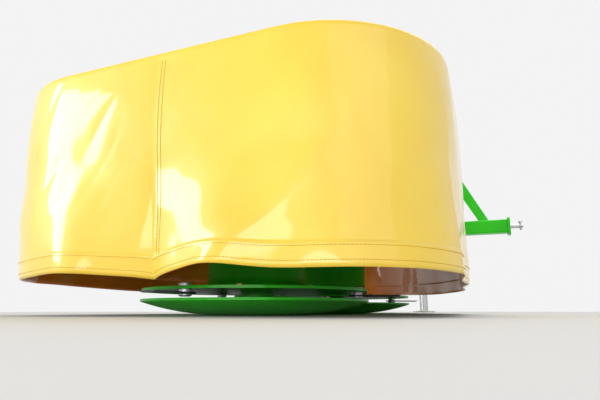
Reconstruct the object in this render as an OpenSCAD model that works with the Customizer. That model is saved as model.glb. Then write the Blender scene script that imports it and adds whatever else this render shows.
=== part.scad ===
// Two-drum rotary mower on a swing-back three-point hitch, parked on its skids and stand.
// Units are millimetres. X runs along the beam to its outer end, Y to the mowing front, Z up.
// The outer drum's axis is the layout origin; seat() then moves the layout to the row frame.

/* [Drums and knives] */
// distance between the two drum axes
drum_spacing = 655; // [620:5:720]
// how far the knife disc's rim lies inside the skid dish's rim
disc_inset = 2; // [0:1:10]
// radius of the drum above the disc
drum_radius = 118; // [100:1:120]
// radius of the flare at the drum's foot
drum_flare = 26; // [15:1:35]
// how far the two knife circles overlap
knife_overlap = 39; // [20:1:50]
// width of a knife
knife_width = 44; // [36:1:50]
// thickness of a knife
knife_thick = 4; // [3:0.5:5]
// angle of the first knife on the outer drum
knife_phase = -11; // [-25:1:25]

/* [Skid dishes] */
// radius of a skid dish's rim
skid_radius = 272; // [250:1:285]
// depth of a skid dish below its rim
skid_depth = 31; // [24:1:40]
// sheet thickness of a skid dish
skid_sheet = 5; // [4:0.5:7]
// radius of the hole in the middle of a dish
skid_hole = 28; // [20:1:34]
// radius of a dish's flat middle
skid_flat = 80; // [70:1:110]

/* [Beam] */
// underside of the beam above the floor
beam_low = 258; // [250:1:280]
// height of the beam box
beam_height = 154; // [140:1:170]
// half of the beam's width
beam_half = 192; // [180:1:210]
// outer end of the beam past the outer drum's axis
beam_out = 225; // [200:5:260]
// inner end of the beam past the inner drum's axis
beam_in = 135; // [120:5:145]
// sheet thickness of the beam box
beam_sheet = 5; // [4:0.5:8]
// bend radius of the beam's lower edges
beam_bend = 8; // [6:0.5:10]

/* [Cover] */
// bottom hem above the floor
hem_low = 73; // [60:1:90]
// top of the cover above the floor
cover_top_z = 495; // [480:1:520]
// thickness of the coated cloth as built
cloth = 4; // [3:0.5:6]

/* [Arm] */
// float hinge past the beam's inner end
trunnion_back = 85; // [85:1:100]
// arm's line across the machine
arm_y = -95; // [-105:1:-90]
// width and height of the arm tube
arm_tube = 80; // [70:1:90]
// distance from the float hinge to the swing pivot along the arm
arm_length = 676; // [650:5:720]
// wall of the arm tube
arm_wall = 6; // [5:0.5:8]
// radius of the float hinge pin
trunnion_pin_r = 30; // [24:1:32]
// belt run's input shaft height above the floor
input_z = 560; // [550:5:600]

/* [Hitch] */
// lower hitch pins above the floor
hitch_z = 440; // [430:5:460]
// distance between the lower pins' shoulders
hitch_span = 683; // [660:1:700]
// diameter of a lower hitch pin
lower_pin_d = 22; // [22:0.1:22.4]
// height of the top link hole above the lower pins
mast_height = 460; // [440:5:480]
// diameter of the top link hole
top_hole_d = 19.5; // [19.3:0.1:20]
// radius of the swing pivot pin
kingpin_r = 25; // [20:1:28]

/* [Stand] */
// radius of the parking stand's leg
leg_r = 22; // [18:1:24]
// travel of the parking stand
leg_travel = 260; // [200:10:280]

/* [Hidden] */
$fn = 64;
cover_fn = 72;
// radial gap at every pin that turns or slides
running_gap = 0.3;
// end gap beside a turning hub
thrust_gap = 1;
paint_green = [0.13, 0.72, 0.06];
paint_dark = [0.10, 0.11, 0.12];
steel = [0.62, 0.63, 0.65];
cloth_yellow = [1.0, 0.83, 0.14];

// heights from the floor
rim_z = skid_depth;
disc_gap = 29;
disc_sheet = 6;
disc_z = rim_z + disc_gap;
knife_drop = 6;
knife_z = disc_z - disc_sheet - knife_thick - knife_drop;
flange_t = 8;
collar_t = 7;
drum_top = beam_low - flange_t - collar_t - thrust_gap;
beam_top = beam_low + beam_height;
beam_mid = (beam_low + beam_top) / 2;
hub_r = 40;
spindle_r = 35;

// plan positions
inner_x = -drum_spacing;
beam_end = inner_x - beam_in;
float_x = beam_end - trunnion_back;
pivot_x = float_x - arm_length;
pivot_y = 188;
drive_offset = 141;
input_x = pivot_x + drive_offset;
input_y = pivot_y + drive_offset;
hitch_back = 113;
hitch_x = pivot_x - hitch_back;
cross_w = 70;
sleeve_w = 64;
stand_x = hitch_x - (cross_w + sleeve_w) / 2;
stand_y = 200;
foot = 110;
pin_out = 62;
knife_tip = (drum_spacing + knife_overlap) / 2;
disc_radius = skid_radius - disc_inset;
knife_pin_in = 24;
knife_pin_r = disc_radius - knife_pin_in;

// plan of the cover: corner circles as centre x, centre y, radius
front_out = [160, 232, 262];
front_mid = [-50, 235, 260];
front_in = [-520, 175, 305];
inner_wrap = [-940, 20, 213];
rear_out = [140, -245, 260];
rear_mid = [-115, -241, 260];
rear_end = [-745, -338, 5];
skirt_cut_y = -11;

// plan of the lower hoop
hoop_w = 46;
hoop_t = 8;
hoop_z = 272;
hoop_corner = [-205, 315, 150];
hoop_clear = cloth + 6;

// row frame: middle of the bounding box, on the floor
row_x = (front_out[0] + front_out[2] + stand_x - foot / 2) / 2;
row_y = (input_y + hitch_span / 2 + pin_out + rear_out[1] - rear_out[2]) / 2;

module seat() translate([-row_x, -row_y, 0]) children();

module block(x0, x1, y0, y1, z0, z1) translate([x0, y0, z0]) cube([x1 - x0, y1 - y0, z1 - z0]);

module bar_y(x, z, r, y0, y1) translate([x, y0, z]) rotate([-90, 0, 0]) cylinder(r = r, h = y1 - y0);

module rounded_square(w, r) {
    square([w, w - 2 * r], center = true);
    square([w - 2 * r, w], center = true);
    for (x = [-1, 1], y = [-1, 1]) translate([x * (w / 2 - r), y * (w / 2 - r)]) circle(r = r);
}

// outside corner radius of drawn square tube
tube_round = 10;

module tube_plan(w, t) difference() {
    rounded_square(w, tube_round);
    rounded_square(w - 2 * t, tube_round - t);
}

module box_tube_x(x0, x1, y, z, w, t) translate([x0, y, z]) rotate([90, 0, 90])
    linear_extrude(x1 - x0) tube_plan(w, t);

module box_tube_y(x, y0, y1, z, w, t) translate([x, y1, z]) rotate([90, 0, 0])
    linear_extrude(y1 - y0) tube_plan(w, t);

module plate_xz(y0, y1) translate([0, y1, 0]) rotate([90, 0, 0]) linear_extrude(y1 - y0) children();

// length that a strut runs on at each end before it is cut to its seat
strut_spare = 40;

module strut(from, to, w, t) {
    d = to - from;
    run = norm([d[0], d[1]]);
    translate(from) rotate([0, -atan2(d[2], run), atan2(d[1], d[0])])
        translate([-strut_spare, -w / 2, -t / 2]) cube([norm(d) + 2 * strut_spare, w, t]);
}

// cover

module disk(c, grow = 0) translate([c[0], c[1]]) circle(r = c[2] + grow, $fn = cover_fn);

module cover_plan() hull() {
    disk(front_out);
    disk(front_mid);
    disk(front_in);
    disk(inner_wrap);
    disk(rear_out);
    disk(rear_mid);
    disk(rear_end);
}

module skirt_plan() difference() {
    cover_plan();
    offset(delta = -cloth) cover_plan();
}

module zone(x0, x1, y0, y1) translate([x0, y0]) square([x1 - x0, y1 - y0]);

module skirt(x0, x1, y0, y1) translate([0, 0, hem_low]) linear_extrude(cover_top_z - cloth - hem_low)
    intersection() {
        skirt_plan();
        zone(x0, x1, y0, y1);
    }

far = 2000;
seam_out = 120;
seam_in = -560;

module cover_roof() color(cloth_yellow) seat()
    translate([0, 0, cover_top_z - cloth]) linear_extrude(cloth) difference() {
        cover_plan();
        zone(-far, rear_end[0], -far, skirt_cut_y);
    }

module skirt_outer() color(cloth_yellow) seat() skirt(seam_out, far, -far, far);

module skirt_front() color(cloth_yellow) seat() skirt(seam_in, seam_out, 0, far);

module skirt_inner() color(cloth_yellow) seat() skirt(-far, seam_in, skirt_cut_y, far);

module skirt_rear() color(cloth_yellow) seat() skirt(rear_end[0], seam_out, -far, 0);

// cover frame

module hoop_plan() hull() {
    disk(front_out, -hoop_clear);
    disk(rear_out, -hoop_clear);
    disk(hoop_corner);
    translate([hoop_corner[0], -hoop_corner[1]]) circle(r = hoop_corner[2], $fn = cover_fn);
}

module hoop_inside() offset(delta = -hoop_w) hoop_plan();

rear_bar_x = 162;
rear_bar_w = 60;

module cover_hoop() color(paint_green) seat() translate([0, 0, hoop_z]) linear_extrude(hoop_t) {
    difference() {
        hoop_plan();
        hoop_inside();
        zone(-far, beam_out, -beam_half, beam_half);
    }
    intersection() {
        hoop_plan();
        zone(rear_bar_x - rear_bar_w / 2, rear_bar_x + rear_bar_w / 2, -far, -beam_half);
    }
}

rod_r = 6;
rod_reach = 400;
rod_xs = [66, -95, -199, -286];

module rods(side) intersection() {
    for (x = rod_xs) {
        if (side > 0) {
            bar_y(x, hoop_z + hoop_t / 2, rod_r, beam_half, beam_half + rod_reach);
        } else {
            bar_y(x, hoop_z + hoop_t / 2, rod_r, -beam_half - rod_reach, -beam_half);
        }
    }
    linear_extrude(far) hoop_inside();
}

module cover_rods() color(paint_green) seat() {
    rods(1);
    rods(-1);
}

stay_w = 42;
stay_t = 6;
stay_z = 376;
stay_a = [-130, beam_half, stay_z];
stay_a_end = [160, 425, hoop_z + hoop_t];
stay_b = [-559, beam_half, stay_z];
stay_b_end = [-66, 450, hoop_z + hoop_t];

module stay(from, to) difference() {
    strut(from, to, stay_w, stay_t);
    block(-far, far, -far, beam_half, 0, far);
    block(-far, far, -far, far, 0, hoop_z + hoop_t);
}

module front_stays() color(paint_green) seat() {
    stay(stay_a, stay_a_end);
    stay(stay_b, stay_b_end);
}

module rear_stays() color(paint_green) seat() mirror([0, 1, 0]) {
    stay(stay_a, stay_a_end);
    stay(stay_b, stay_b_end);
}

lug_sheet = 8;
lug_step = 12;
lug_drop = 62;
lug_tall = 48;
lug_reach = 26;
lug_bolt_r = 6.5;

// plate across the wall with a round end, a bolt hole and a bottom edge that runs up to the end
module lug_plate(at) translate([at[0] + lug_step, beam_half, stay_z - lug_drop]) rotate([90, 0, 90])
    linear_extrude(lug_sheet) difference() {
        hull() {
            square([1, lug_tall]);
            translate([lug_reach, lug_tall - stay_w / 3]) circle(r = stay_w / 3);
        }
        translate([lug_reach, lug_tall - stay_w / 3]) circle(r = lug_bolt_r);
    }

module stay_lugs() color(paint_green) seat() {
    lug_plate(stay_a);
    lug_plate(stay_b);
    mirror([0, 1, 0]) lug_plate(stay_a);
    mirror([0, 1, 0]) lug_plate(stay_b);
}

top_hoop_w = 40;
top_hoop_t = 6;
top_low = cover_top_z - cloth - top_hoop_t;

module top_hoop() color(paint_green) seat() translate([0, 0, top_low]) linear_extrude(top_hoop_t)
    difference() {
        hoop_plan();
        offset(delta = -top_hoop_w) hoop_plan();
    }

rail_y = 120;
rail_half = 20;
rail_t = 8;
rail_post = 36;
rail_in = hoop_corner[0] - hoop_corner[2] + 4;
rail_out = front_out[0] + front_out[2] - top_hoop_w;

module top_rails() color(paint_green) seat() for (y = [-rail_y, rail_y]) {
    block(rail_in, rail_out, y - rail_half, y + rail_half, top_low - rail_t, top_low);
    for (x = [rail_in + rail_post, beam_out - rail_post])
        block(x - rail_half, x + rail_half, y - rail_half, y + rail_half, beam_top, top_low);
}

// beam

nose = 230;
nose_lip = 12;
seam_wide = 2;
seam_deep = 1.5;

module beam_side() polygon([
    [beam_end, beam_low],
    [beam_out, beam_low],
    [beam_out, beam_top - beam_sheet],
    [beam_end + nose, beam_top - beam_sheet],
    [beam_end, beam_low + nose_lip],
]);

// folded section: square above, bent along the two lower edges
module beam_section() {
    translate([-beam_half, beam_low + beam_bend]) square([2 * beam_half, beam_height - beam_bend]);
    translate([beam_bend - beam_half, beam_low]) square([2 * (beam_half - beam_bend), 2 * beam_bend]);
    for (side = [-1, 1])
        translate([side * (beam_half - beam_bend), beam_low + beam_bend]) circle(r = beam_bend);
}

module beam() color(paint_green) seat() difference() {
    intersection() {
        plate_xz(-beam_half, beam_half) beam_side();
        translate([beam_end, 0, 0]) rotate([90, 0, 90]) linear_extrude(beam_out - beam_end) beam_section();
    }
    plate_xz(-beam_half + beam_sheet, beam_half - beam_sheet) offset(delta = -beam_sheet) beam_side();
    block(beam_end + nose, beam_out - beam_sheet, -beam_half + beam_sheet, beam_half - beam_sheet,
        beam_low + beam_sheet, beam_top + 1);
    block(beam_end - 1, beam_out + 1, -seam_wide / 2, seam_wide / 2, beam_low - 1, beam_low + seam_deep);
}

// point on the sloping nose, t along it from the beam's inner end, lifted by h at right angles
nose_rise = beam_height - beam_sheet - nose_lip;
nose_long = norm([nose, nose_rise]);
function nose_at(t, h = 0) = [
    beam_end + (t * nose - h * nose_rise) / nose_long,
    beam_low + nose_lip + (t * nose_rise + h * nose) / nose_long,
];

// everything below the nose's plane, lifted by h
module under_nose(h) polygon([nose_at(-far, h), nose_at(far, h), nose_at(far, -far), nose_at(-far, -far)]);

module nose_foot(t0, t1, h, y0, y1) plate_xz(y0, y1)
    polygon([nose_at(t0), nose_at(t1), nose_at(t1, h), nose_at(t0, h)]);

module beam_lid() color(paint_green) seat()
    block(beam_end + nose, beam_out, -beam_half, beam_half, beam_top - beam_sheet, beam_top);

train_in = 20;
train_out = 60;
train_half = 35;

module gear_train() color(steel) seat()
    block(beam_end + nose + train_in, beam_out - train_out, -train_half, train_half,
        beam_low + beam_sheet, beam_mid);

// float hinge

ear_t = 16;
ear_r = 54;
fork_len = 220;
fork_tail = arm_tube - 2 * tube_round;
fork_half = arm_tube / 2 + ear_t;
hinge_half = arm_tube / 2 - thrust_gap;
hinge_r = 50;
pin_head = 6;
foot_plate = 12;
foot_from = 14;
foot_to = 175;

// bevel gearbox: a round head on the hinge line and a neck that lies on the beam's nose
head_r = 58;
head_wide = 96;
head_rim = 9;
head_rim_t = 12;
neck_r = 42;
neck_foot_to = 235;
head_clear = 6;
head_near = arm_y + fork_half + pin_head + head_clear;
head_far = head_near + head_wide;
neck_y = (head_near + head_far) / 2;

module input_gearbox() color(paint_green) seat() {
    difference() {
        union() {
            bar_y(float_x, beam_mid, head_r, head_near, head_far);
            bar_y(float_x, beam_mid, head_r + head_rim, head_far - head_rim_t, head_far);
            translate([float_x, neck_y, beam_mid]) rotate([0, 90, 0])
                cylinder(r = neck_r, h = trunnion_back + nose);
        }
        plate_xz(-far, far) under_nose(foot_plate / 2);
        bar_y(float_x, beam_mid, head_r - head_rim, head_far - head_rim_t / 3, far);
    }
    nose_foot(foot_from, neck_foot_to, foot_plate, head_near, head_far);
}

rib_t = 12;
rib_in = 24;

module hinge_rib() difference() {
    hull() {
        translate([float_x, beam_mid]) circle(r = hinge_r);
        translate(nose_at(foot_from)) circle(r = 4);
        translate(nose_at(foot_to)) circle(r = 4);
    }
    under_nose(foot_plate / 2);
}

module trunnion() color(paint_green) seat() difference() {
    union() {
        bar_y(float_x, beam_mid, hinge_r, arm_y - hinge_half, arm_y + hinge_half);
        for (y = [arm_y - rib_in, arm_y + rib_in]) plate_xz(y - rib_t / 2, y + rib_t / 2) hinge_rib();
        nose_foot(foot_from, foot_to, foot_plate, arm_y - hinge_half - rib_t, arm_y + hinge_half + rib_t);
    }
    bar_y(float_x, beam_mid, trunnion_pin_r + running_gap, arm_y - far, arm_y + far);
}

module fork_plan() difference() {
    hull() {
        translate([float_x, beam_mid]) circle(r = ear_r);
        translate([float_x - fork_len, arm_z - fork_tail / 2]) square([fork_tail, fork_tail]);
    }
    translate([float_x, beam_mid]) circle(r = trunnion_pin_r);
}

module fork() color(paint_green) seat() {
    plate_xz(arm_y + arm_tube / 2, arm_y + arm_tube / 2 + ear_t) fork_plan();
    plate_xz(arm_y - arm_tube / 2 - ear_t, arm_y - arm_tube / 2) fork_plan();
}

module trunnion_pin() color(steel) seat()
    bar_y(float_x, beam_mid, trunnion_pin_r, arm_y - fork_half, arm_y + fork_half + pin_head);

// arm

arm_z = 400;
pivot_tube_r = 46;
pivot_tall = 100;
pivot_low = arm_z - pivot_tall / 2;
pivot_high = arm_z + pivot_tall / 2;
arm_end_gap = 75;
gusset = 95;
gusset_t = 10;

module swing_arm() color(paint_green) seat() difference() {
    union() {
        box_tube_x(pivot_x + arm_tube / 2 - tube_round, float_x - arm_end_gap, arm_y, arm_z,
            arm_tube, arm_wall);
        box_tube_y(pivot_x, arm_y - arm_tube / 2, pivot_y - kingpin_r - 4, arm_z, arm_tube, arm_wall);
        translate([pivot_x, pivot_y, pivot_low]) cylinder(r = pivot_tube_r, h = pivot_tall);
        translate([pivot_x + arm_tube / 2 - 1, arm_y + arm_tube / 2 - 1, arm_z - gusset_t / 2])
            linear_extrude(gusset_t) polygon([[0, 0], [gusset, 0], [0, gusset]]);
    }
    translate([pivot_x, pivot_y, pivot_low - 1])
        cylinder(r = kingpin_r + running_gap, h = pivot_tall + 2);
}

guard_gap = 9;
guard_depth = 90;
guard_near = arm_y - fork_half - guard_gap;
guard_far = guard_near - guard_depth;
guard_sheet = 4;
guard_small = 70;
guard_big = 150;
guard_edge = 14;
guard_flange = 12;

module guard_plan(grow = 0) hull() {
    translate([float_x, beam_mid]) circle(r = guard_small + grow);
    translate([input_x, input_z]) circle(r = guard_big + grow);
}

// pressed pan with a sloped edge round its face
module guard_pan(inside) hull() {
    plate_xz(guard_far + inside, guard_far + inside + 1) guard_plan(-guard_edge - inside / 2);
    plate_xz(guard_far + guard_edge + inside / 2, guard_near - guard_sheet + inside) guard_plan(-inside);
}

module belt_guard() color(paint_green) seat() difference() {
    guard_pan(0);
    guard_pan(guard_sheet);
}

module guard_back() color(paint_green) seat() difference() {
    plate_xz(guard_near - guard_sheet, guard_near) guard_plan(guard_flange);
    bar_y(input_x, input_z, shaft_r + 8, guard_near - far, guard_near + far);
}

bracket_x = (input_x + float_x - fork_len) / 2;

bracket_w = 60;
bracket_sheet = 8;

// U-shaped bracket between the arm and the guard's back plate
module guard_bracket() color(paint_green) seat() difference() {
    block(bracket_x - bracket_w / 2, bracket_x + bracket_w / 2, guard_near, arm_y - arm_tube / 2,
        arm_z - bracket_w / 2, arm_z + bracket_w / 2);
    block(bracket_x - bracket_w / 2 + bracket_sheet, bracket_x + bracket_w / 2 - bracket_sheet,
        guard_near - 1, arm_y - arm_tube / 2 - bracket_sheet, 0, far);
}

shaft_r = 25;
stub_r = 17.45;
stub_len = 80;
housing_r = 45;
housing_end = 10;
housing_rim = 10;
housing_rim_t = 14;
post_foot = 12;
post_half = 58;
post_web = 14;
arm_top = arm_z + arm_tube / 2;

// cast web from the foot up to the round housing, narrowing towards the top
module post_web_plan() hull() {
    translate([input_x - post_half, arm_top]) square([2 * post_half, post_foot]);
    translate([input_x, input_z]) circle(r = housing_r - 8);
}

module bearing_housing() color(paint_green) seat() difference() {
    union() {
        bar_y(input_x, input_z, housing_r, guard_near, housing_end);
        bar_y(input_x, input_z, housing_r + housing_rim, housing_end - housing_rim_t, housing_end);
        block(input_x - post_half, input_x + post_half, arm_y - arm_tube / 2, arm_y + arm_tube / 2,
            arm_top, arm_top + post_foot);
        plate_xz(arm_y - post_web / 2, arm_y + post_web / 2) post_web_plan();
        block(input_x - post_web / 2, input_x + post_web / 2, arm_y - arm_tube / 2, arm_y + arm_tube / 2,
            arm_top, input_z);
    }
    bar_y(input_x, input_z, shaft_r + running_gap, guard_near - 1, housing_end + 1);
}

shaft_step = 6;
spline_w = 8;
spline_root = 14.9;

module input_shaft() color(steel) seat() difference() {
    union() {
        bar_y(input_x, input_z, shaft_r, guard_near - guard_depth * 2 / 3, housing_end + shaft_step);
        bar_y(input_x, input_z, stub_r, housing_end, housing_end + shaft_step + stub_len);
    }
    for (a = [0 : 60 : 300])
        translate([input_x, housing_end + shaft_step + 10, input_z]) rotate([0, a, 0])
            block(-spline_w / 2, spline_w / 2, 0, far, spline_root, 2 * stub_r);
}

shield_r = 62;
shield_wall = 4;
shield_lip = 10;
shield_long = shaft_step + stub_len - 5;

// bell of moulded plastic: flat back, round shoulder and flared mouth
module pto_shield() color(paint_dark) seat() translate([input_x, housing_end, input_z]) rotate([-90, 0, 0])
    rotate_extrude() polygon([
        [shaft_r + 3, 0],
        [shield_r - 14, 0],
        [shield_r - 4, 5],
        [shield_r, 15],
        [shield_r, shield_long - 22],
        [shield_r + shield_lip, shield_long],
        [shield_r + shield_lip - shield_wall, shield_long],
        [shield_r - shield_wall, shield_long - 21],
        [shield_r - shield_wall, 16],
        [shield_r - 7, 8],
        [shield_r - 15, 5],
        [shaft_r + 3, 5],
    ]);

// hitch

end_t = 12;
lug_t = 20;
lug_r = 50;
lug_web = 16;

module lug_ring(z0) difference() {
    union() {
        translate([pivot_x, pivot_y, z0]) cylinder(r = lug_r, h = lug_t);
        block(hitch_x + cross_w / 2, pivot_x, pivot_y - lug_r, pivot_y + lug_r, z0, z0 + lug_t);
    }
    translate([pivot_x, pivot_y, z0 - 1]) cylinder(r = kingpin_r, h = lug_t + 2);
}

lug_low = pivot_low - thrust_gap - lug_t;
lug_high = pivot_high + thrust_gap;

tube_wall = 6;
end_plate_w = 90;
hitch_left = input_y - hitch_span / 2;
hitch_right = input_y + hitch_span / 2;

module hitch_beam() color(paint_green) seat() {
    box_tube_y(hitch_x, hitch_left + end_t / 2, hitch_right - end_t / 2, hitch_z, cross_w, tube_wall);
    for (y = [hitch_left, hitch_right - end_t]) difference() {
        plate_xz(y, y + end_t) translate([hitch_x, hitch_z]) rounded_square(end_plate_w, 2 * tube_round);
        bar_y(hitch_x, hitch_z, cheek_pin_r, y - 1, y + end_t + 1);
    }
}

module pivot_lugs() color(paint_green) seat() {
    block(hitch_x + cross_w / 2, hitch_x + cross_w / 2 + lug_web, pivot_y - lug_r, pivot_y + lug_r,
        lug_low, lug_high + lug_t);
    lug_ring(lug_low);
    lug_ring(lug_high);
}

mast_top = hitch_z + mast_height;
mast_t = 16;
mast_foot = 190;
mast_foot_w = 50;
cheek_half = 26;
cheek_t = 12;
cheek_w = 80;
cheek_tall = 130;
head_drop = 45;
brace_deep = 24;
cheek_low = mast_top - cheek_tall;
leg_head = mast_top - head_drop;
brace_z = cheek_low - brace_deep;
cheek_out = cheek_half + cheek_t;
leg_base = hitch_z + cross_w / 2;

module mast() color(paint_green) seat() translate([hitch_x - mast_t / 2, input_y, 0]) rotate([90, 0, 90])
    linear_extrude(mast_t) polygon([
        [mast_foot, leg_base],
        [mast_foot + mast_foot_w, leg_base],
        [cheek_out, leg_head],
        [cheek_out, cheek_low],
        [-cheek_out, cheek_low],
        [-cheek_out, leg_head],
        [-mast_foot - mast_foot_w, leg_base],
        [-mast_foot, leg_base],
        [-cheek_out, brace_z],
        [cheek_out, brace_z],
    ]);

module cheek_plan() {
    translate([hitch_x - cheek_w / 2, cheek_low]) square([cheek_w, cheek_tall]);
    translate([hitch_x, mast_top]) circle(r = cheek_w / 2);
}

module top_cheeks() color(paint_green) seat() for (y = [-cheek_out, cheek_half]) difference() {
    plate_xz(input_y + y, input_y + y + cheek_t) cheek_plan();
    bar_y(hitch_x, mast_top, top_hole_d / 2, -far, far);
}

cheek_pin_r = 9;
linch_r = 5.75;
linch_in = 12;

module lower_pin(side) {
    shoulder = input_y + side * hitch_span / 2;
    tip = shoulder + side * pin_out;
    root = shoulder - side * end_t;
    shank = shoulder + side * end_t;
    difference() {
        union() {
            bar_y(hitch_x, hitch_z, lower_pin_d / 2, min(shoulder, tip), max(shoulder, tip));
            bar_y(hitch_x, hitch_z, cheek_pin_r, min(shank, root), max(shank, root));
        }
        translate([hitch_x, tip - side * linch_in, hitch_z - lower_pin_d])
            cylinder(r = linch_r, h = 2 * lower_pin_d);
    }
}

module lower_pins() color(steel) seat() {
    lower_pin(1);
    lower_pin(-1);
}

king_head_t = 10;
king_head_out = 12;

module kingpin() color(steel) seat() translate([pivot_x, pivot_y, 0]) {
    translate([0, 0, lug_low]) cylinder(r = kingpin_r, h = lug_high + lug_t - lug_low + king_head_t / 2);
    translate([0, 0, lug_high + lug_t]) cylinder(r = kingpin_r + king_head_out, h = king_head_t);
}

// stand

foot_t = 8;
foot_clear = 62;
sleeve_over = 40;
leg_over = 20;
sleeve_low = foot_t + leg_travel + foot_clear;
sleeve_high = hitch_z + sleeve_over;
leg_top = sleeve_high + leg_over;

screw_r = 8;
screw_nut_r = 14;
screw_out = 30;
handle_r = 6;
handle_long = 70;
screw_drop = 60;
screw_z = hitch_z - screw_drop;

module stand_sleeve() color(paint_green) seat() difference() {
    translate([stand_x, stand_y, sleeve_low]) linear_extrude(sleeve_high - sleeve_low)
        rounded_square(sleeve_w, tube_round);
    translate([stand_x, stand_y, 0]) cylinder(r = leg_r + running_gap, h = far);
}

module stand_leg() color(steel) seat() translate([stand_x, stand_y, 0]) {
    linear_extrude(foot_t) rounded_square(foot, 2 * tube_round);
    cylinder(r = leg_r, h = leg_top);
}

module hand_screw() {
    cylinder(r = screw_nut_r, h = screw_r);
    cylinder(r = screw_r, h = screw_out);
    translate([-handle_long / 2, 0, screw_out]) rotate([0, 90, 0]) cylinder(r = handle_r, h = handle_long);
}

module stand_screw() color(steel) seat()
    translate([stand_x, stand_y - sleeve_w / 2, screw_z]) rotate([90, 0, 0]) hand_screw();

// drums

flange_r = 145;
collar_r = 130;
slot_in = 121;
slot_out = 126.5;
slot_deep = 5;
slot_count = 4;
slot_angle = 42;
spindle_in = 40;

// bolted ring, and under it a collar with four arc slots that vent the labyrinth
module drum_flange(x) translate([x, 0, 0]) {
    translate([0, 0, beam_low - flange_t]) cylinder(r = flange_r, h = flange_t);
    difference() {
        translate([0, 0, beam_low - flange_t - collar_t]) cylinder(r = collar_r, h = collar_t + flange_t / 2);
        for (i = [1 : slot_count]) rotate(i * 360 / slot_count)
            translate([0, 0, beam_low - flange_t - collar_t - 1]) rotate_extrude(angle = slot_angle)
                translate([slot_in, 0]) square([slot_out - slot_in, slot_deep + 1]);
    }
    translate([0, 0, drum_top - spindle_in])
        cylinder(r = spindle_r, h = beam_low - flange_t / 2 - drum_top + spindle_in);
}

module flange_outer() color(paint_green) seat() drum_flange(0);

module flange_inner() color(paint_green) seat() drum_flange(inner_x);

drum_wall = 6;
drum_cap = 10;
boss_wall = 20;
boss_r = spindle_r + running_gap;

// drawn drum: closed top with a bearing boss, straight wall and a foot that flares out to the disc
module drum_half() {
    translate([boss_r, drum_top - drum_cap]) square([drum_radius - boss_r, drum_cap]);
    translate([boss_r, drum_top - spindle_in]) square([boss_wall, spindle_in]);
    translate([drum_radius - drum_wall, disc_z]) square([drum_wall, drum_top - disc_z]);
    difference() {
        translate([drum_radius - 1, disc_z]) square([drum_flare + 1, drum_flare]);
        translate([drum_radius + drum_flare, disc_z + drum_flare]) circle(r = drum_flare);
    }
}

module drum(x) translate([x, 0, 0]) rotate_extrude() drum_half();

module drum_outer() color(paint_green) seat() drum(0);

module drum_inner() color(paint_green) seat() drum(inner_x);

pin_r = 8;
hub_low = skid_sheet + 7;

module disc(x, phase) translate([x, 0, 0]) difference() {
    union() {
        translate([0, 0, disc_z - disc_sheet]) cylinder(r = disc_radius, h = disc_sheet);
        translate([0, 0, hub_low]) cylinder(r = hub_r, h = disc_z - disc_sheet / 2 - hub_low);
    }
    for (a = [0, 120, 240]) rotate(phase + a) translate([knife_pin_r, 0, 0]) cylinder(r = pin_r, h = far);
}

module disc_outer() color(paint_green) seat() disc(0, knife_phase);

module disc_inner() color(paint_green) seat() disc(inner_x, -knife_phase);

pin_head_r = 14;
pin_head_t = 5;
pin_nut_r = 14;
pin_nut_t = 8;
pin_spacer_r = 13;

// shouldered pin: mushroom head below the knife, spacer up to the disc, nut on top
module knife_pin() rotate_extrude() polygon([
    [0, knife_z - pin_head_t],
    [pin_head_r - 4, knife_z - pin_head_t],
    [pin_head_r, knife_z - pin_head_t / 2],
    [pin_head_r, knife_z - running_gap],
    [pin_r, knife_z - running_gap],
    [pin_r, knife_z + knife_thick + running_gap],
    [pin_spacer_r, knife_z + knife_thick + running_gap],
    [pin_spacer_r, disc_z - disc_sheet],
    [pin_r, disc_z - disc_sheet],
    [pin_r, disc_z],
    [pin_nut_r, disc_z],
    [pin_nut_r, disc_z + pin_nut_t - 2],
    [pin_nut_r - 3, disc_z + pin_nut_t],
    [0, disc_z + pin_nut_t],
]);

module knife_pins(x, phase) translate([x, 0, 0]) for (a = [0, 120, 240])
    rotate(phase + a) translate([knife_pin_r, 0, 0]) knife_pin();

module pins_outer() color(steel) seat() knife_pins(0, knife_phase);

module pins_inner() color(steel) seat() knife_pins(inner_x, -knife_phase);

edge_wide = 12;
edge_thin = 1.2;

// flat bar ground to an edge along both sides, with a round eye
module knife_section() polygon([
    [-knife_width / 2, knife_thick - edge_thin],
    [edge_wide - knife_width / 2, 0],
    [knife_width / 2 - edge_wide, 0],
    [knife_width / 2, knife_thick - edge_thin],
    [knife_width / 2, knife_thick],
    [-knife_width / 2, knife_thick],
]);

module knife(x, angle) translate([x, 0, knife_z]) rotate(angle) difference() {
    union() {
        translate([knife_pin_r, 0, 0]) cylinder(r = knife_width / 2, h = knife_thick);
        translate([knife_pin_r, 0, 0]) rotate([90, 0, 90])
            linear_extrude(knife_tip - knife_pin_r) knife_section();
    }
    translate([knife_pin_r, 0, -1]) cylinder(r = pin_r + running_gap, h = knife_thick + 2);
}

module knife_outer_1() color(paint_dark) seat() knife(0, knife_phase);

module knife_outer_2() color(paint_dark) seat() knife(0, knife_phase + 120);

module knife_outer_3() color(paint_dark) seat() knife(0, knife_phase + 240);

module knife_inner_1() color(paint_dark) seat() knife(inner_x, -knife_phase);

module knife_inner_2() color(paint_dark) seat() knife(inner_x, -knife_phase + 120);

module knife_inner_3() color(paint_dark) seat() knife(inner_x, -knife_phase + 240);

// radius of the bowl's arc, which runs from the flat middle up to the rim
bowl_run = skid_radius - skid_flat;
bowl_r = (bowl_run * bowl_run + skid_depth * skid_depth) / (2 * skid_depth);
bowl_fn = 720;
boss_out = 14;
skid_boss_top = disc_z - disc_sheet - 6;

module bowl(inside) {
    translate([0, inside]) square([skid_flat, far]);
    intersection() {
        translate([skid_flat, bowl_r]) circle(r = bowl_r - inside, $fn = bowl_fn);
        translate([skid_flat, 0]) square([far, 4 * skid_depth]);
    }
}

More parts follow.
